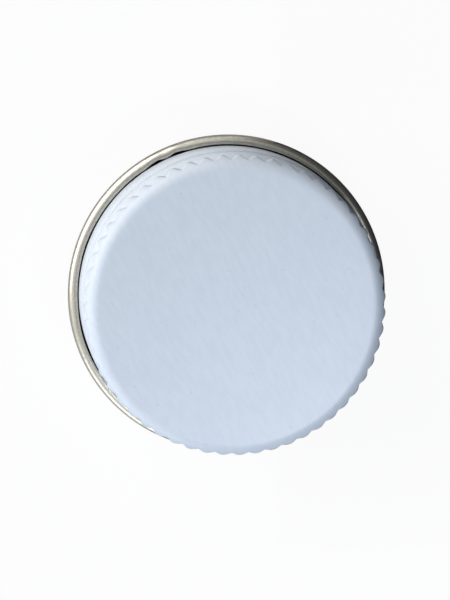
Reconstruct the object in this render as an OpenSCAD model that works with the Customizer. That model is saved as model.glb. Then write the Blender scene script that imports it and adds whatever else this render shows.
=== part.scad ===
// Threaded metal bottle cap: one cup drawn from tinplate, white enamel outside,
// with a knurled band, a rolled thread and a curled edge, and a liner disc pressed in under the panel.
// The cap stands on its curl. The origin is the middle of the foot, +Z runs up the axis to the panel.

/* [Cup] */
// Outside diameter of the plain skirt
skirt_d = 28; // [22:0.1:45]
// Height from the foot of the curl to the top of the panel
cap_h = 10.2; // [9.6:0.1:16]
// Thickness of the tinplate
sheet = 0.23; // [0.18:0.01:0.32]
// Outside bend radius between the panel and the skirt
corner_bend = 1.25; // [0.9:0.05:1.5]

/* [Knurl] */
// Number of ribs in the knurled band
rib_count = 55; // [40:1:64]
// Direction of the first rib, in degrees from +X
rib_start = 3.2; // [0:0.1:9]
// Depth of the V-shaped valleys between the ribs
flute_depth = 0.48; // [0.36:0.02:0.5]
// Width of the plain crest left on each rib
crest_w = 0.4; // [0.36:0.02:0.6]
// Distance from the top of the panel down to where the ribs start to turn in
rib_drop = 1.75; // [1.6:0.05:2.2]
// Bend radius at the lower end of each rib
rib_bend = 0.35; // [0.33:0.01:0.6]

/* [Neck groove] */
// Depth of the groove rolled in below the ribs
neck_depth = 0.6; // [0.58:0.01:0.66]
// Height of the straight bottom of the neck groove
neck_flat = 0.15; // [0.1:0.05:0.6]
// Bend radius where the groove meets the ribs
neck_bend = 0.5; // [0.4:0.05:0.7]
// Bend radius of the two easy bends that lead from the groove out to the skirt
flare_bend = 0.95; // [0.6:0.05:1.2]

/* [Rolled thread] */
// Rise of the thread in one turn
thread_pitch = 4.233; // [3:0.001:5]
// Depth that the thread is pressed into the skirt
thread_depth = 0.6; // [0.4:0.05:0.8]
// Radius of the groove that the thread roller leaves
thread_round = 1.2; // [0.9:0.05:1.4]
// Height of the middle of the thread at its lower end
thread_z = 1.95; // [1.8:0.05:2.4]
// Direction in which the lower end of the thread lies, in degrees from +X
thread_start = -90; // [-180:5:180]
// Length of the thread, in degrees round the skirt
thread_sweep = 330; // [240:10:345]
// Length over which each end of the thread runs out, in degrees
thread_runout = 36; // [24:4:60]

/* [Curl] */
// Outside diameter of the curled edge's own tube
curl_d = 1.23; // [1:0.01:1.6]
// How far the edge is rolled round, in degrees
curl_turn = 300; // [270:5:310]

/* [Liner] */
// Thickness of the liner disc
liner_thick = 0.9; // [0.5:0.05:1.2]
// Gap between the liner's edge and the inside of the neck groove
liner_clearance = 0.06; // [0.02:0.01:0.3]
// Height of the liner's upper edge that is crushed into the corner of the cup
liner_crush = 0.25; // [0.2:0.01:0.4]

/* [Hidden] */

$fn = 96;
thread_step = 7.5;                   // degrees between two sections of the thread
thread_facets = 6;                   // flats across the groove's section
roller_lap = 8;                      // degrees by which the roller's arc runs on past the skirt's face
over = 1;                            // how far a cutting body stands past what it cuts

skirt_r = skirt_d / 2;
flute_r = skirt_r - flute_depth;
neck_r = skirt_r - neck_depth;
curl_r = curl_d / 2;
panel_r = skirt_r - corner_bend;     // where the flat panel ends
corner_z = cap_h - corner_bend;
rib_z = cap_h - rib_drop;

// Each rib's flank runs straight from the edge of its crest to the bottom of the valley.
half_pitch = 180 / rib_count;
crest_edge = [sqrt(skirt_r * skirt_r - crest_w * crest_w / 4), crest_w / 2];
valley = flute_r * [cos(half_pitch), sin(half_pitch)];
flank_angle = atan2(valley[1] - crest_edge[1], crest_edge[0] - valley[0]);
peak_r = crest_edge[0] + crest_edge[1] / tan(flank_angle);

// An easy bend from one radius to another is two arcs that touch: its height follows from their radii.
function ease_height(step, r1, r2) = sqrt(pow(r1 + r2, 2) - pow(r1 + r2 - step, 2));
neck_top_z = rib_z - ease_height(neck_depth, rib_bend, neck_bend);
neck_low_z = neck_top_z - neck_flat;
neck_z = neck_top_z - neck_flat / 2;
skirt_z = neck_low_z - ease_height(neck_depth, flare_bend, flare_bend);

liner_top_z = cap_h - sheet;
liner_r = neck_r - sheet - liner_clearance;

// Fillet between an outer arc, whose middle is inside the wall, and an inner arc, whose middle is outside it.
// `outer` and `inner` are [radius from the axis, height, radius of the arc].
module easy_bend(outer, inner) {
    translate([outer[0], outer[1]]) circle(outer[2]);
    difference() {
        polygon([[outer[0], outer[1]], [inner[0], inner[1]], [0, inner[1]], [0, outer[1]]]);
        translate([inner[0], inner[1]]) circle(inner[2]);
    }
}

// Half section of the cup from `low` to `high`, filled, and drawn `inset` inside its outer face.
module cup_section(inset, low, high) {
    intersection() {
        translate([0, low]) square([skirt_r, high - low]);
        union() {
            square([panel_r, cap_h - inset]);
            square([skirt_r - inset, skirt_z]);
            easy_bend([skirt_r - flare_bend, skirt_z, flare_bend - inset],
                      [neck_r + flare_bend, neck_low_z, flare_bend + inset]);
            square([neck_r - inset, neck_top_z]);
            easy_bend([skirt_r - rib_bend, rib_z, rib_bend - inset],
                      [neck_r + neck_bend, neck_top_z, neck_bend + inset]);
            translate([0, rib_z]) square([skirt_r - inset, corner_z - rib_z]);
            translate([panel_r, corner_z]) intersection() {
                circle(corner_bend - inset);
                square(corner_bend);
            }
        }
    }
}

// Outline of the knurling tool: a star whose flanks run on past the crests to a sharp peak.
module knurl_outline(inset) {
    peak = peak_r - inset / sin(flank_angle);
    bottom = flute_r - inset / sin(flank_angle + half_pitch);
    polygon([for (i = [0 : 2 * rib_count - 1])
                 let (a = rib_start + i * half_pitch)
                 (i % 2 == 0 ? peak : bottom) * [cos(a), sin(a)]]);
}

// Filled top of the cup, above the middle of the neck groove, with the valleys pressed into it.
module knurled_top(inset, low) {
    intersection() {
        rotate_extrude() cup_section(inset, low, cap_h);
        linear_extrude(cap_h + over) knurl_outline(inset);
    }
}

// Depth of the thread at `turn` degrees from its start: full, and running out to nothing at both ends.
function thread_cut(turn) =
    let (left = min(turn, thread_sweep - turn) / thread_runout)
    left >= 1 ? thread_depth : thread_depth * (1 - cos(180 * left)) / 2;

// Section of the thread roller at `turn`: an arc that faces the axis, closed by a straight back.
function roller_section(turn, round) =
    let (mid_r = skirt_r - thread_cut(turn) + thread_round,
         half = acos((thread_round - thread_depth) / round) + roller_lap)
    concat([for (i = [0 : thread_facets])
                let (a = half * (2 * i / thread_facets - 1))
                [mid_r - round * cos(a), round * sin(a)]],
           [[mid_r + over, round * sin(half)], [mid_r + over, -round * sin(half)]]);

// The path of the thread roller as one solid.
module thread_path(round) {
    rings = ceil(thread_sweep / thread_step);
    sides = thread_facets + 3;
    points = [for (k = [0 : rings])
                  let (turn = thread_sweep * k / rings,
                       a = thread_start + turn,
                       z = thread_z + thread_pitch * turn / 360)
                  for (p = roller_section(turn, round)) [p[0] * cos(a), p[0] * sin(a), z + p[1]]];
    faces = concat([[for (i = [0 : sides - 1]) i]],
                   [for (k = [0 : rings - 1], i = [0 : sides - 1])
                        let (a = k * sides, b = a + sides, j = (i + 1) % sides)
                        each [[a + i, b + i, b + j], [a + i, b + j, a + j]]],
                   [[for (i = [sides - 1 : -1 : 0]) rings * sides + i]]);
    polyhedron(points, faces);
}

// The rolled edge: a ring of sheet that leaves the wall, passes under and comes back over the top.
module curl() {
    rotate_extrude() translate([skirt_r - sheet + curl_r, curl_r]) difference() {
        circle(curl_r);
        circle(curl_r - sheet);
        polygon([[0, 0], curl_d * [-1, 0], curl_d * [-1, 1],
                 curl_d * [-cos(curl_turn), -sin(curl_turn)]]);
    }
}

// Panel, corner and knurled band, down to the middle of the neck groove.
module panel_and_band() {
    difference() {
        knurled_top(0, neck_z);
        knurled_top(sheet, neck_z - over);
    }
}

// Skirt from the middle of the neck groove down to the curl. The thread is a groove outside and a ridge inside.
module threaded_skirt() {
    difference() {
        rotate_extrude() cup_section(0, curl_r, neck_z);
        thread_path(thread_round);
        difference() {
            rotate_extrude() cup_section(sheet, 0, neck_z + over);
            thread_path(thread_round + sheet);
        }
    }
}

module shell() {
    color("white") {
        panel_and_band();
        threaded_skirt();
        curl();
    }
}

// Punched disc. Its upper edge is crushed to a slope where the panel bends down into the corner.
module liner() {
    color("ivory") rotate_extrude()
        polygon([[0, liner_top_z - liner_thick], [liner_r, liner_top_z - liner_thick],
                 [liner_r, liner_top_z - liner_crush], [min(liner_r, panel_r), liner_top_z], [0, liner_top_z]]);
}

shell();
liner();
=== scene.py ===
# %% [markdown]
# # A white screw cap, drawn and rolled from sheet metal
# This lesson dresses one small object: a 28 mm bottle cap. On the bench it comes apart into two pieces, a
# shell and the sealing disc inside it. The shell is a single disc of tinplate, drawn into a cup. Every
# feature on it was pressed or rolled into that one sheet, so it is modelled in much the same order here:
# draw the section with its curled edge, turn it into a cup, press the ribs, roll the thread, knock the
# edge, and only then give the sheet its thickness.
#
# The measured model is loaded first. It fixes where each piece sits, and nothing in it is moved.

# %% Load the measured model
import math

import bmesh
import bpy
import numpy as np
from mathutils import Matrix, Vector


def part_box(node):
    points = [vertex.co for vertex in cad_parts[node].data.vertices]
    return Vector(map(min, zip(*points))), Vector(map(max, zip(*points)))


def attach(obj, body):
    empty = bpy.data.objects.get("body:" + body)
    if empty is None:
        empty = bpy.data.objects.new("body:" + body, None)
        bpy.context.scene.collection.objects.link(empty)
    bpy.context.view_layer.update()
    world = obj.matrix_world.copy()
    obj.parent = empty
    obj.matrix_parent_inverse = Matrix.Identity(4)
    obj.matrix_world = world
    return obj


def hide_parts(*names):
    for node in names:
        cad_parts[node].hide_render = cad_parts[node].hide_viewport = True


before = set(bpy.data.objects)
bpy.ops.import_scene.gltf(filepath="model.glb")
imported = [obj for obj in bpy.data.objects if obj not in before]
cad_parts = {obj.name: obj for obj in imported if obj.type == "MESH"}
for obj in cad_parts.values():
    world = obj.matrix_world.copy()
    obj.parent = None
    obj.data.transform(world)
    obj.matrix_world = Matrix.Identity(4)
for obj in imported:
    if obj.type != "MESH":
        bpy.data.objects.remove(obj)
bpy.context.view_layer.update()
bpy.ops.object.select_all(action="DESELECT")
MM = 0.001

# %% [markdown]
# ## The camera
# The cap stands on its open end and is seen from almost straight above, through a long lens, so that its
# round outline stays round. The camera leans about ten degrees towards the upper left of the picture. That
# shows the ribs and the rolled edge on that side, and the panel hides them on the other. A camera that
# looks nearly straight down can't take its roll from the vertical, so its right side is worked out from the
# row's +Y.

# %% Camera
camera_lean = math.radians(9.9)
camera_turn = math.radians(122.9)
camera_distance = 400 * MM
camera_aim = Vector((-0.569, -0.053, 4.9)) * MM
focal_pixels = 4288.8
picture_height = 600
sensor_size = 36

cap_heart = Vector((0, 0, 5 * MM))
camera_offset = Vector((math.sin(camera_lean) * math.cos(camera_turn),
                        math.sin(camera_lean) * math.sin(camera_turn),
                        math.cos(camera_lean))) * camera_distance
camera_data = bpy.data.cameras.new("bench_camera")
camera_data.sensor_width = sensor_size
camera_data.lens = focal_pixels * sensor_size / picture_height
camera_data.clip_start = 10 * MM
camera = bpy.data.objects.new("bench_camera", camera_data)
bpy.context.collection.objects.link(camera)
camera_place = cap_heart + camera_offset
forward = (camera_aim - camera_place).normalized()
right = forward.cross(Vector((0, 1, 0))).normalized()
up = right.cross(forward)
camera_turned = Matrix((right, up, -forward)).transposed().to_4x4()
camera.matrix_world = Matrix.Translation(camera_place) @ camera_turned
bpy.context.scene.camera = camera
print("camera at, mm:", [round(c / MM, 1) for c in camera.matrix_world.translation])

# %% [markdown]
# ## Sizes of the sheet
# The outside of the measured shell gives the height and the reach of the rolled edge, and the sealing disc
# gives the thickness of the sheet, because it lies right under the panel. The bends are the ones that the
# press tools leave. All of them belong to the enamelled face, the one that a hand touches. The corner is
# two bends: a wide and easy one of a few degrees, in which the flat panel starts to fall, and then the
# tight one round the punch.

# %% Sizes of the shell
shell_low, shell_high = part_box("shell")
disc_low, disc_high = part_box("liner")
cap_height = shell_high.z
sheet = cap_height - disc_high.z
curl_tube = 1.23 * MM
curl_middle = Vector((shell_high.x - curl_tube / 2, curl_tube / 2))
curl_hollow = curl_tube / 2 - sheet
skirt_r = curl_middle.x - curl_hollow
corner_bend = 1.25 * MM
easy_bend = 4 * MM
easy_degrees = 4
rib_drop = 1.75 * MM
rib_bend = 0.35 * MM
neck_depth = 0.6 * MM
neck_flat = 0.15 * MM
neck_bend = 0.5 * MM
flare_bend = 0.95 * MM

easy_turn = math.radians(easy_degrees)
corner_z = cap_height - easy_bend * (1 - math.cos(easy_turn)) - corner_bend * math.cos(easy_turn)
flat_r = skirt_r - corner_bend * (1 - math.sin(easy_turn)) - easy_bend * math.sin(easy_turn)
neck_r = skirt_r - neck_depth
rib_z = cap_height - rib_drop
rib_turn = math.acos(1 - neck_depth / (rib_bend + neck_bend))
neck_top_z = rib_z - (rib_bend + neck_bend) * math.sin(rib_turn)
neck_low_z = neck_top_z - neck_flat
flare_turn = math.acos(1 - neck_depth / (2 * flare_bend))
skirt_z = neck_low_z - 2 * flare_bend * math.sin(flare_turn)
print(f"skirt: {2 * skirt_r / MM:.2f} mm across, from {skirt_z / MM:.2f} mm down, sheet {sheet / MM:.2f} mm")

# %% [markdown]
# ## The section
# A turned form starts as a half section. This one runs from the middle of the panel, round the corner, down
# over the ribs, through the neck groove, down the skirt and round the curl. An arc could be bevelled out of
# a sharp corner, but then the bends that flow into each other, such as the two that lead out of the neck,
# would have to be matched by eye. Points along true arcs match by themselves, and each arc gets as many
# steps as its bend needs.

# %% Points of the section
def arc(middle, radius, start, stop, steps):
    """Points of an arc in the section, without its first. Its ends are in degrees from the outward side."""
    turns = [math.radians(start + (stop - start) * k / steps) for k in range(1, steps + 1)]
    return [Vector((middle[0] + radius * math.cos(t), middle[1] + radius * math.sin(t))) for t in turns]


def line(first, last, steps):
    """Points of a straight stretch of the section, without its first."""
    return [Vector(first).lerp(Vector(last), k / steps) for k in range(1, steps + 1)]


rib_degrees = math.degrees(rib_turn)
flare_degrees = math.degrees(flare_turn)
curl_end_degrees = 475
section = [Vector((0, cap_height))]
section += line((0, cap_height), (flat_r, cap_height), steps=3)
section += arc((flat_r, cap_height - easy_bend), easy_bend, 90, 90 - easy_degrees, steps=2)
section += arc((skirt_r - corner_bend, corner_z), corner_bend, 90 - easy_degrees, 0, steps=18)
section += line((skirt_r, corner_z), (skirt_r, rib_z), steps=1)
section += arc((skirt_r - rib_bend, rib_z), rib_bend, 0, -rib_degrees, steps=5)
section += arc((neck_r + neck_bend, neck_top_z), neck_bend, 180 - rib_degrees, 180, steps=4)
section += line((neck_r, neck_top_z), (neck_r, neck_low_z), steps=1)
section += arc((neck_r + flare_bend, neck_low_z), flare_bend, 180, 180 + flare_degrees, steps=4)
section += arc((skirt_r - flare_bend, skirt_z), flare_bend, flare_degrees, 0, steps=4)
section += line((skirt_r, skirt_z), (skirt_r, curl_middle.y), steps=16)
section += arc(curl_middle, curl_hollow, 180, curl_end_degrees, steps=29)
print(len(section), "points in the section")

# %% [markdown]
# ## Turning the cup
# The section is drawn in edit mode as a chain of edges, by extruding one corner point again and again, and
# is then spun round the axis, as a lathe or a spinning tool would do. The number of steps is a multiple of
# the number of ribs, so that every crest and every valley gets a line of points of its own. A spin leaves a
# seam and a stack of points at the pole. Both are merged, and the faces are turned outwards, before the
# sheet gets its thickness.

# %% Spin the section
rib_count = 55
steps_per_rib = 10
spin_steps = rib_count * steps_per_rib
rib_start = math.radians(3.2)
seam_gap = 0.002 * MM


def only_selected(piece):
    """Makes `piece` the active object and the only selected one."""
    bpy.ops.object.select_all(action="DESELECT")
    piece.select_set(True)
    bpy.context.view_layer.objects.active = piece


def chain_of_edges(name, points):
    """A new object with one open chain of edges in the XZ plane, drawn by extruding its last point."""
    bpy.ops.mesh.primitive_plane_add(size=MM, location=(0, 0, 0))
    piece = bpy.context.object
    piece.name = name
    bpy.ops.object.mode_set(mode="EDIT")
    bpy.ops.mesh.select_all(action="SELECT")
    bpy.ops.mesh.merge(type="CENTER")
    bpy.ops.transform.translate(value=(points[0].x, 0, points[0].y))
    for before, after in zip(points, points[1:]):
        step = after - before
        bpy.ops.mesh.extrude_region_move(TRANSFORM_OT_translate={"value": (step.x, 0, step.y)})
    return piece


shell = chain_of_edges("cap_shell", section)
bpy.ops.mesh.select_all(action="SELECT")
bpy.ops.transform.rotate(value=-rib_start, orient_axis="Z", center_override=(0, 0, 0))
bpy.ops.mesh.spin(steps=spin_steps, angle=math.tau, center=(0, 0, 0), axis=(0, 0, 1), use_auto_merge=False)
bpy.ops.mesh.select_all(action="SELECT")
bpy.ops.mesh.remove_doubles(threshold=seam_gap)
bpy.ops.mesh.normals_make_consistent(inside=False)
bpy.ops.object.mode_set(mode="OBJECT")
print("cup:", len(shell.data.vertices), "points,", len(shell.data.polygons), "faces")

# %% [markdown]
# ## Pressing the ribs and rolling the thread
# The press tools don't cut the sheet: they push it inwards. So the plain cup is reshaped by moving its
# points towards the axis, and the rule for each tool is the shape of the tool itself. The knurling tool
# leaves ribs with a narrow level crest and straight flanks, and two flanks meet in a V-shaped valley. The
# valleys lean inwards a little on their way down, so they start on the corner bend without a step. The
# thread roller leaves a round groove that climbs with the thread. It runs on the skirt alone: the upper
# half of the curl stands at the height of the skirt's foot and farther out, so the rule keeps the roller
# off it. Where a tool runs out, the sheet doesn't break off into an edge, but eases over. A smooth minimum
# of two surfaces gives that easing, with one number for how wide it is. There is no mesh operator for this,
# and ribs made as separate meshes would never join the corner as softly.

# %% Easing from one surface to another
def ease(low, high, value):
    """0 below `low`, 1 above `high`, and a smooth rise between them."""
    share = np.clip((value - low) / (high - low), 0, 1)
    return share * share * (3 - 2 * share)


def smooth_least(first, second, width):
    """The smaller of two surfaces, with the crease between them rounded over `width`."""
    share = np.clip(0.5 + (second - first) / (2 * width), 0, 1)
    return second + (first - second) * share - width * share * (1 - share)


def hump(offset, half_width):
    """A smooth hump of height 1, gone at `half_width` on both sides."""
    share = np.clip(np.abs(offset) / half_width, 0, 1)
    return (1 - share * share) ** 2


def points_of(piece):
    """Radius, direction and height of every point of a mesh, as three arrays."""
    flat = np.zeros(len(piece.data.vertices) * 3)
    piece.data.vertices.foreach_get("co", flat)
    x, y, z = flat.reshape(-1, 3).T
    return np.hypot(x, y), np.arctan2(y, x), z


def place_points(piece, radius, direction, height):
    """Puts every point of a mesh at its radius, direction and height."""
    points = np.stack([radius * np.cos(direction), radius * np.sin(direction), height], axis=1)
    piece.data.vertices.foreach_set("co", points.ravel())
    piece.data.update()


# %% Press the ribs
rib_depth = 0.48 * MM
rib_lean = 0.10
rib_ease = 0.01 * MM
crest_share = 0.2
crest_round = 0.08
half_pitch = math.pi / rib_count


def flank(share):
    """Level on the crest and then straight, with a small round between. `share` is of half a rib."""
    past = share - crest_share
    return np.sqrt(past ** 2 + crest_round ** 2) + past


def knurled_radius(direction, height):
    """Face of the knurling tool: straight flanks that meet in V-shaped valleys, shallower upwards."""
    from_crest = np.abs((direction - rib_start + half_pitch) % (2 * half_pitch) - half_pitch) / half_pitch
    depth = rib_depth - rib_lean * np.maximum(height - rib_z, 0)
    return skirt_r - depth * (flank(from_crest) - flank(0)) / (flank(1) - flank(0))


radius, direction, height = points_of(shell)
neck_z = neck_top_z - neck_flat / 2
pressed = smooth_least(radius, knurled_radius(direction, height), rib_ease)
on_band = (height > neck_z) & (radius > flat_r)
radius = np.where(on_band, pressed, radius)
full_ribs = radius[on_band & (height < rib_z)]
print("ribs:", rib_count, "deepest valley, mm:", round((skirt_r - full_ribs.min()) / MM, 2))

# %% Roll the thread
inch = 25.4 * MM
threads_per_inch = 6
thread_pitch = inch / threads_per_inch
thread_depth = 0.6 * MM
thread_round = 1.2 * MM
thread_z = 1.95 * MM
thread_start = math.radians(-90)
thread_sweep = math.radians(330)
thread_runout = math.radians(36)
thread_lip = 0.16 * MM

turned = (direction - thread_start) % math.tau
end_distance = np.minimum(turned, thread_sweep - turned)
cut = -thread_lip + (thread_depth + thread_lip) * ease(0, thread_runout, end_distance)
from_middle = height - (thread_z + thread_pitch * turned / math.tau)
groove_rise = thread_round - np.sqrt(np.maximum(thread_round ** 2 - from_middle ** 2, 0))
groove_r = skirt_r - cut + groove_rise
rolled = smooth_least(radius, groove_r, thread_lip)
curl_side = skirt_r + sheet / 8
on_skirt = (height < neck_z) & (height > curl_middle.y) & (radius < curl_side)
radius = np.where(on_skirt, rolled, radius)
place_points(shell, radius, direction, height)
print("thread: deepest, mm:", round((skirt_r - radius[on_skirt & (height < skirt_z)].min()) / MM, 2))

# %% [markdown]
# ## The edge that was knocked
# A curl is never quite true. The rolled edge of this cap wavers a little, it stands off the skirt in one
# place, and in another it has been knocked: there the free edge is pushed in until it touches the skirt,
# and it gapes on both sides of the knock. Each of these is a small push along the radius, strongest at the
# free edge and gone at the outermost point of the roll, so the cap still stands flat and keeps its width.

# %% Knock and waviness of the curl
knock_at = math.radians(113.8)
knock_push = 0.12 * MM
knock_half = math.radians(3.4)
gape_push = 0.15 * MM
gape_half = math.radians(6)
gape_away = math.radians(3.9)
loose_at = math.radians(200)
loose_push = 0.06 * MM
loose_half = math.radians(15)
waver_push = 0.012 * MM
# how often each wave goes round, its lead in radians and its share
waver_waves = ((5, 0.6, 1), (11, 2.1, 1), (23, 0, 0.5))
free_from_degrees = 190


def around(place):
    """Signed distance of every point from a direction, in radians."""
    return (direction - place + math.pi) % math.tau - math.pi


radius, direction, height = points_of(shell)
rolled_turn = (np.arctan2(height - curl_middle.y, radius - curl_middle.x) - math.pi) % math.tau
off_the_roll = np.abs(np.hypot(radius - curl_middle.x, height - curl_middle.y) - curl_hollow)
on_curl = (off_the_roll < sheet / 4) & ((height < curl_middle.y) | (radius > curl_side))
free_from = math.radians(free_from_degrees)
free_edge = math.radians(curl_end_degrees - 180)
towards_edge = ease(free_from, free_edge, np.where(on_curl, rolled_turn, 0))
gape = hump(around(knock_at - gape_away), gape_half) + hump(around(knock_at + gape_away), gape_half)
push = gape_push * gape - knock_push * hump(around(knock_at), knock_half)
push += loose_push * hump(around(loose_at), loose_half)
push += waver_push * sum(share * np.sin(turns * direction + lead) for turns, lead, share in waver_waves)
radius = radius + push * towards_edge
place_points(shell, radius, direction, height)
print("curl: edge moved from", round(push.min() / MM, 2), "to", round(push.max() / MM, 2), "mm")

# %% [markdown]
# ## Giving the sheet its thickness
# The cup is still a skin without thickness: the enamelled face. Solidify grows the metal away from it,
# inwards under the panel and, because the sheet turns over at the foot, outwards round the curl. That is
# why the curl of such a cap shows the lacquered inside of the sheet and not the enamel. Solidify can also
# give the new face and the raw edge materials of their own, so three slots are made first, in that order.

# %% Thickness
smooth_angle = math.radians(48)
enamel_slot, lacquer_slot, raw_edge_slot = range(3)
for slot_name in ("white_enamel", "gold_lacquer", "raw_edge"):
    shell.data.materials.append(bpy.data.materials.new(slot_name))
only_selected(shell)
wall = shell.modifiers.new("wall", "SOLIDIFY")
wall.thickness = sheet
wall.offset = -1
wall.use_even_offset = True
wall.material_offset = lacquer_slot
wall.material_offset_rim = raw_edge_slot
bpy.ops.object.modifier_apply(modifier="wall")
bpy.ops.object.shade_smooth_by_angle(angle=smooth_angle)
print("sheet:", sum(len(p.vertices) - 2 for p in shell.data.polygons), "triangles")
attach(shell, "root")
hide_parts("shell")

# %% [markdown]
# ## The sealing disc
# The disc is punched from a foam sheet and pushed in under the panel, where the neck groove holds it. Seen
# from below it is the largest face of the cap. A cylinder is its start. The punch leaves its edges crisp,
# with a small round, and a ring of faces close to each edge keeps the shading of that round off the flat
# faces.

# %% Sealing disc
disc_r = disc_high.x
disc_middle_z = (disc_low.z + disc_high.z) / 2
edge_ring = 0.25 * MM
face_rings = (2 * MM, 4 * MM, 4 * MM)
punch_round = 0.12 * MM

bpy.ops.object.select_all(action="DESELECT")
bpy.ops.mesh.primitive_cylinder_add(vertices=160, radius=disc_r, depth=disc_high.z - disc_low.z,
                                    location=(0, 0, disc_middle_z))
disc = bpy.context.object
disc.name = "sealing_disc"
bpy.ops.object.transform_apply(location=True)
bpy.ops.object.mode_set(mode="EDIT")
bpy.ops.mesh.select_all(action="DESELECT")
disc_mesh = bmesh.from_edit_mesh(disc.data)
for face in disc_mesh.faces:
    face.select = abs(face.normal.z) > 0.5
bmesh.update_edit_mesh(disc.data)
for width in (edge_ring, *face_rings):
    bpy.ops.mesh.inset(thickness=width)
bpy.ops.object.mode_set(mode="OBJECT")

punched = disc.modifiers.new("punched", "BEVEL")
punched.width = punch_round
punched.segments = 4
punched.limit_method = "ANGLE"
punched.angle_limit = math.radians(60)
only_selected(disc)
bpy.ops.object.modifier_apply(modifier="punched")
bpy.ops.object.shade_smooth_by_angle(angle=smooth_angle)
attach(disc, "root")
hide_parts("liner")
print("disc:", round(2 * disc_r / MM, 2), "mm across,", len(disc.data.polygons), "faces")

# %% [markdown]
# ## Finishes written as sums
# A finish is a graph of nodes, and most of its nodes are arithmetic: a noise times a strength, one minus a
# mask. Built node by node, that sum can't be read any more. So one small class wraps an output socket, and
# the ordinary signs of arithmetic on it add the Math nodes. Every other node of a pattern comes from its
# `node` method. The patterns read Object coordinates, in metres, so a noise of scale 1000 has grains of
# about a millimetre.

# %% A socket with arithmetic
class Wire:
    """One output socket of a node. Arithmetic on it adds Math nodes to the same tree."""

    def __init__(self, tree, socket):
        self.tree = tree
        self.socket = socket

    def node(self, kind, settings, sockets, output=0):
        """Adds a node: its settings are set first, then the values or wires of its sockets."""
        made = self.tree.nodes.new(kind)
        for name, value in settings.items():
            setattr(made, name, value)
        for name, value in sockets.items():
            if isinstance(value, Wire):
                self.tree.links.new(value.socket, made.inputs[name])
            else:
                made.inputs[name].default_value = value
        return Wire(self.tree, made.outputs[output])

    def math(self, operation, first, second=0.0):
        return self.node("ShaderNodeMath", {"operation": operation}, {0: first, 1: second})

    def __add__(self, other):
        return self.math("ADD", self, other)

    def __sub__(self, other):
        return self.math("SUBTRACT", self, other)

    def __mul__(self, other):
        return self.math("MULTIPLY", self, other)

    def __rsub__(self, other):
        return self.math("SUBTRACT", other, self)

    __radd__ = __add__
    __rmul__ = __mul__

    def between(self, low, high):
        """0 below `low`, 1 above `high` and a smooth rise between them."""
        return self.node("ShaderNodeMapRange", {"interpolation_type": "SMOOTHSTEP"},
                         {"Value": self, "From Min": low, "From Max": high})

    def noise(self, grain, detail=2.0, roughness=0.5):
        """Noise on these coordinates, with grains about `grain` metres across, from 0 to 1."""
        return self.node("ShaderNodeTexNoise", {"noise_dimensions": "3D"},
                         {"Vector": self, "Scale": 1 / grain, "Detail": detail, "Roughness": roughness})

    def turned_and_stretched(self, turn, stretch):
        """These coordinates turned about the axis and then scaled by `stretch`."""
        turned = self.node("ShaderNodeMapping", {}, {"Vector": self, "Rotation": (0, 0, turn)})
        return turned.node("ShaderNodeMapping", {}, {"Vector": turned, "Scale": stretch})

    def colour(self, low, high):
        """A colour that goes from `low` to `high` as this value goes from 0 to 1. Either may be a wire."""
        low, high = (end if isinstance(end, Wire) else (*end, 1) for end in (low, high))
        return self.node("ShaderNodeMix", {"data_type": "RGBA"}, {0: self, 6: low, 7: high}, output=2)

    def bump(self, depth):
        """A normal pushed in and out by this height, `depth` metres from 0 to 1."""
        return self.node("ShaderNodeBump", {}, {"Height": self, "Distance": depth, "Strength": 1.0})


def start_finish(material, **constants):
    """Object coordinates and the shader of an emptied material, with the shader's constant sockets set."""
    material.use_nodes = True
    material.node_tree.nodes.clear()
    place = Wire(material.node_tree, None).node("ShaderNodeTexCoord", {}, {}, output="Object")
    shader = material.node_tree.nodes.new("ShaderNodeBsdfPrincipled")
    for name, value in constants.items():
        shader.inputs[name.replace("_", " ")].default_value = value
    output = material.node_tree.nodes.new("ShaderNodeOutputMaterial")
    material.node_tree.links.new(shader.outputs[0], output.inputs[0])
    return place, shader


def feed(shader, **wires):
    """Links wires to the shader's sockets."""
    for name, wire in wires.items():
        wire.tree.links.new(wire.socket, shader.inputs[name.replace("_", " ")])


# %% [markdown]
# ## White enamel
# The sheet is coated on rollers before it is drawn, so the enamel has a fine grain along the rolling
# direction: a faint orange peel, drawn out into streaks a millimetre or so long. It is a cool white with a
# soft gloss. The streaks are one noise on stretched coordinates. It tints the colour by a few parts in a
# hundred and lifts the surface by less than two thousandths of a millimetre, which is enough to break up a
# reflection. A few specks of dust sit on it. Below the top of the curl, in the gap beside it, the enamel is
# painted almost black: painted shade, so that the gap reads dark.

# %% Enamel
enamel_white = (0.725, 0.795, 0.875)
enamel_shade = (0.692, 0.764, 0.846)
speck_grey = (0.45, 0.51, 0.59)
speck_strength = 0.15
# painted shade: the near-black colour the enamel gets below the top of the curl, so the gap beside it reads
# dark
painted_gap_shade = (0.016, 0.018, 0.018)
gap_shade_top = curl_tube + 0.02 * MM
gap_shade_fade = 0.15 * MM
peel_height = 0.0016 * MM
rolling_direction = math.radians(118.8)


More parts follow.
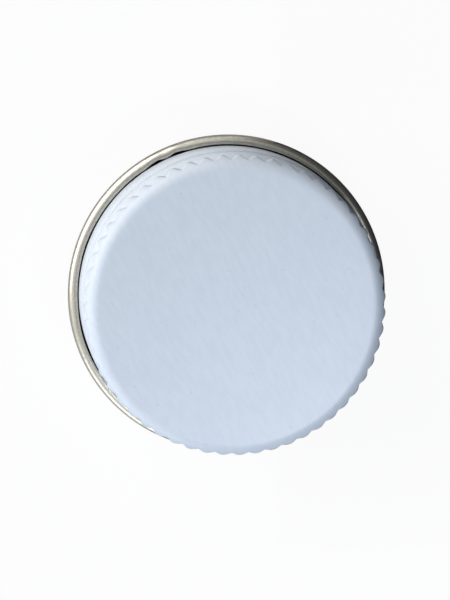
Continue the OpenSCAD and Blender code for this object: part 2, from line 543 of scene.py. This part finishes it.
def finish_enamel(material):
    """Enamel streaked along the rolling direction, with specks of dust, and painted shade in the gap beside
    the curl.
    """
    place, shader = start_finish(material, IOR=1.5, Specular_IOR_Level=0.2)
    along_rolling = place.turned_and_stretched(-rolling_direction, (0.3, 1, 1))
    streaks = along_rolling.noise(0.42 * MM, detail=3)
    clouds = place.noise(5 * MM, detail=2)
    tint = (streaks * 0.7 + clouds * 0.3).between(0.35, 0.65)
    specks = place.noise(0.4 * MM, detail=0).between(0.80, 0.84) * speck_strength
    dusty = specks.colour(tint.colour(enamel_shade, enamel_white), speck_grey)
    # painted shade in the gap: below the top of the curl the colour fades to near black
    level = place.node("ShaderNodeSeparateXYZ", {}, {"Vector": place}, output="Z")
    clear_of_gap_shade = level.between(gap_shade_top - gap_shade_fade, gap_shade_top)
    peel = streaks * 0.6 + place.noise(0.9 * MM, detail=1) * 0.4
    feed(shader, Base_Color=clear_of_gap_shade.colour(painted_gap_shade, dusty), Roughness=0.32 + streaks * 0.06,
         Normal=peel.bump(peel_height))


finish_enamel(bpy.data.materials["white_enamel"])
print("enamel:", len(bpy.data.materials["white_enamel"].node_tree.nodes), "nodes")

# %% [markdown]
# ## Lacquered tinplate
# Inside, the sheet has a thin gold lacquer over bright tin, and the curl turns that face up. Under the
# lacquer the metal keeps the marks of the rolls that curled it: short dull scratches that run round the
# edge. They are a noise on coordinates that are wound round the axis: direction, radius and height. The
# direction is counted short, which draws the marks out along the edge. The tin is blotchy as well, in
# coarser patches, and a plain noise is enough for those. The raw edge, where the disc was cut from the
# sheet, is bare steel with marks across it.

# %% Lacquer and raw edge
lacquer_pale = (0.56, 0.54, 0.475)
lacquer_deep = (0.42, 0.40, 0.34)
lacquer_grain_height = 0.001 * MM
steel_bright = (0.4, 0.39, 0.37)
steel_dark = (0.16, 0.15, 0.14)


def wound_coordinates(place, along):
    """Coordinates that follow the ring. A metre of its arc counts as `along` metres of pattern."""
    parts = place.node("ShaderNodeSeparateXYZ", {}, {"Vector": place}, output="X")
    x, y, z = (Wire(place.tree, parts.socket.node.outputs[name]) for name in "XYZ")
    ring = x.math("ARCTAN2", y, x) * (curl_middle.x * along)
    away = x.math("SQRT", x * x + y * y)
    return x.node("ShaderNodeCombineXYZ", {}, {"X": ring, "Y": away, "Z": z})


def finish_lacquer(material):
    """Gold lacquer over bright tin, worn into scratches and blotches."""
    place, shader = start_finish(material, Metallic=1.0, IOR=1.5)
    scratches = wound_coordinates(place, 0.5).noise(0.11 * MM, detail=2, roughness=0.6)
    blotches = place.noise(0.3 * MM, detail=3, roughness=0.6)
    wear = (scratches * 0.45 + blotches * 0.55).between(0.3, 0.7)
    feed(shader, Base_Color=wear.colour(lacquer_deep, lacquer_pale), Roughness=0.36 - wear * 0.08,
         Normal=(scratches * 0.5 + blotches * 0.5).bump(lacquer_grain_height))


def finish_raw_edge(material):
    """Bare steel with shear marks across the cut."""
    place, shader = start_finish(material, Metallic=1.0)
    shear_marks = wound_coordinates(place, 2.0).noise(0.08 * MM, detail=2)
    feed(shader, Base_Color=shear_marks.colour(steel_dark, steel_bright), Roughness=0.45 + shear_marks * 0.2)


finish_lacquer(bpy.data.materials["gold_lacquer"])
finish_raw_edge(bpy.data.materials["raw_edge"])
print("lacquer:", len(bpy.data.materials["gold_lacquer"].node_tree.nodes), "nodes")

# %% [markdown]
# ## Foam of the sealing disc
# Closed-cell foam, sliced from a roll: off-white, dull, with cells a sixth of a millimetre across that show
# as tiny pits. A Voronoi pattern gives cells that touch one another, which noise can't. The same pattern
# darkens the colour where it sinks the surface: painted shade in the hollows, over a random grey tone.

# %% Foam
foam_white = (0.80, 0.79, 0.74)
# the darker foam colour: a random grey tone, and painted shade in the pits
foam_grey_and_pit_shade = (0.72, 0.71, 0.66)
cell_size = 0.16 * MM
pit_depth = 0.02 * MM


def finish_foam(material):
    """Off-white foam with a pit for each cut cell, and painted shade where the surface sinks."""
    place, shader = start_finish(material, IOR=1.45)
    cells = place.node("ShaderNodeTexVoronoi", {"feature": "F1"}, {"Vector": place, "Scale": 1 / cell_size})
    pits_and_pit_shade = cells.between(0.1, 0.7)
    clouds = place.noise(3 * MM, detail=2)
    # painted shade: the colour darkens where the pits sink the surface
    feed(shader, Base_Color=(pits_and_pit_shade * 0.6 + clouds * 0.4).colour(foam_white, foam_grey_and_pit_shade),
         Roughness=0.62 + pits_and_pit_shade * 0.15, Normal=(1 - pits_and_pit_shade).bump(pit_depth))


foam = bpy.data.materials.new("disc_foam")
disc.data.materials.append(foam)
finish_foam(foam)
print("foam:", len(foam.node_tree.nodes), "nodes")

# %% [markdown]
# ## The table
# The cap stands on a pale table. For the eye and in reflections the table is white, and most of that white
# is a light of its own, which the cap mirrors but isn't lit by. The rest is paint, and keeps the cap's
# shadow. For scattered light the paint is a dark grey. Under so small a thing, so large a white table would
# fill the dark side from below. Light Path tells the two kinds of ray apart.

# %% Table
table_size = 4.0
table_white = (0.95, 0.95, 0.95)
table_scatter = (0.15, 0.15, 0.15)
table_glow = 0.93


def add_stage_plane(name, size, location, rotation=(0, 0, 0)):
    """A flat square that isn't part of the cap."""
    bpy.ops.object.select_all(action="DESELECT")
    bpy.ops.mesh.primitive_plane_add(size=size, location=location, rotation=rotation)
    plane = bpy.context.object
    plane.name = name
    return plane


def plain_finish(name, colour):
    """A dull paint or cloth of one colour."""
    material = bpy.data.materials.new(name)
    material.use_nodes = True
    shader = material.node_tree.nodes["Principled BSDF"]
    shader.inputs["Base Color"].default_value = (*colour, 1)
    shader.inputs["Roughness"].default_value = 0.9
    return material


def seen_directly(tree):
    """1 for what the camera sees, also in a mirror or through glass, and 0 for scattered light."""
    start = Wire(tree, None)
    camera_ray = start.node("ShaderNodeLightPath", {}, {}, output="Is Camera Ray")
    glossy_ray = start.node("ShaderNodeLightPath", {}, {}, output="Is Glossy Ray")
    glass_ray = start.node("ShaderNodeLightPath", {}, {}, output="Is Transmission Ray")
    either = camera_ray.math("MAXIMUM", camera_ray, glossy_ray)
    return either.math("MAXIMUM", either, glass_ray)


table = add_stage_plane("table", table_size, (0, 0, 0))
table_paint = plain_finish("table_paint", table_scatter)
table_tree = table_paint.node_tree
table_shader = table_tree.nodes["Principled BSDF"]
table_shader.inputs["Specular IOR Level"].default_value = 0.1
seen = seen_directly(table_tree)
feed(table_shader, Base_Color=seen.colour(table_scatter, table_white))
white_light = seen.node("ShaderNodeEmission", {}, {"Color": (1, 1, 1, 1), "Strength": 1.0})
lit_table = seen.node("ShaderNodeMixShader", {}, {0: seen * table_glow})
table_tree.links.new(table_shader.outputs[0], lit_table.socket.node.inputs[1])
table_tree.links.new(white_light.socket, lit_table.socket.node.inputs[2])
table_tree.links.new(lit_table.socket, table_tree.nodes["Material Output"].inputs["Surface"])
table.data.materials.append(table_paint)
print("table:", table_size, "m across,", len(table_tree.nodes), "nodes")

# %% [markdown]
# ## The light
# A wide, low key lamp at the upper left does most of the work. It whitens the corner and the skirt that
# face it, draws the long highlight on the curl, and leaves the far side of the corner dark. A cooler lamp
# at the front left and a weak one high up fill the rest. A flat panel under distant lamps is the same all
# over, so a small lamp hangs close by, above and in front, and makes the panel a little brighter towards
# the front.

# %% Lamps
warm_white = (1, 0.97, 0.94)
cool_white = (0.85, 0.91, 1)


def aimed_at_cap(azimuth, elevation, distance):
    """Place and rotation of a thing that faces the cap from a compass direction, in degrees from +X."""
    a, e = math.radians(azimuth), math.radians(elevation)
    place = Vector((math.cos(a) * math.cos(e), math.sin(a) * math.cos(e), math.sin(e))) * distance
    return place, (-place).to_track_quat("-Z", "Y").to_euler()


def add_lamp(name, azimuth, elevation, distance, width, tall, power, colour):
    """A soft box that faces the cap: its size is in metres and its power in watts."""
    lamp_data = bpy.data.lights.new(name, "AREA")
    lamp_data.shape = "RECTANGLE"
    lamp_data.size = width
    lamp_data.size_y = tall
    lamp_data.energy = power
    lamp_data.color = colour
    lamp = bpy.data.objects.new(name, lamp_data)
    lamp.location, lamp.rotation_euler = aimed_at_cap(azimuth, elevation, distance)
    lamp.visible_camera = False
    bpy.context.collection.objects.link(lamp)
    print(f"{name}: {power} W, {width} by {tall} m, {distance} m away")


add_lamp("key_lamp", azimuth=148, elevation=19, distance=0.7,
         width=0.96, tall=0.48, power=6.5, colour=warm_white)
add_lamp("front_lamp", azimuth=240, elevation=18, distance=0.7,
         width=0.7, tall=0.4, power=2.1, colour=cool_white)
add_lamp("high_lamp", azimuth=135, elevation=45, distance=0.7,
         width=0.4, tall=0.4, power=0.35, colour=cool_white)
add_lamp("near_lamp", azimuth=298, elevation=66, distance=0.12,
         width=0.03, tall=0.03, power=0.05, colour=cool_white)

# %% [markdown]
# ## Screens
# A glossy thing shows the room around it, so the room is part of its look. A dark flag stands on the right,
# a dark screen lies on the table under the cap's right side and beyond it, and a dark hood above stands for
# the camera and the one who holds it. They give the corner and the curl something dark to mirror. A grey
# card under the rim tones down the table's reflection in the curl. The camera sees none of them and they
# cast no shadow, so the table stays clean.

# %% Screens
flag_size, flag_away = 0.8, 0.1
hood_size, hood_height = 0.15, 0.4
side_size = 90 * MM
side_place = (50 * MM, 20 * MM, 0.02 * MM)
card_margin = 8 * MM
card_height = 0.01 * MM

screen_cloth = plain_finish("screen_cloth", (0.02, 0.022, 0.028))
card_paint = plain_finish("foot_card", (0.7, 0.7, 0.7))
right_flag = add_stage_plane("right_flag", flag_size, (flag_away, 0, 0), (0, math.radians(90), 0))
camera_hood = add_stage_plane("camera_hood", hood_size, (0, 0, hood_height))
bpy.ops.mesh.primitive_circle_add(vertices=96, radius=shell_high.x + card_margin, fill_type="NGON",
                                  location=(0, 0, card_height))
foot_card = bpy.context.object
foot_card.name = "foot_shade"
foot_card.visible_diffuse = False
side_shade = add_stage_plane("side_shade", side_size, side_place)

for screen in (right_flag, camera_hood, side_shade):
    screen.data.materials.append(screen_cloth)
foot_card.data.materials.append(card_paint)
for screen in (right_flag, camera_hood, side_shade, foot_card):
    screen.visible_camera = False
    screen.visible_shadow = False
    print("screen:", screen.name)

# %% [markdown]
# ## The room
# The world does for the space above the table what the paint does on it: white for the eye and in
# reflections, and a dim blue for scattered light, which cools the shadows a little. The view transform is
# the plain one, so that a colour comes out as it is written.

# %% World
room_white = (1, 1, 1)
room_scatter = (0.018, 0.027, 0.044)
world = bpy.data.worlds.new("pale_room")
bpy.context.scene.world = world
world.use_nodes = True
room_colour = seen_directly(world.node_tree).colour(room_scatter, room_white)
world.node_tree.links.new(room_colour.socket, world.node_tree.nodes["Background"].inputs["Color"])
bpy.context.scene.view_settings.view_transform = "Standard"
print("room: scattered light", room_scatter)
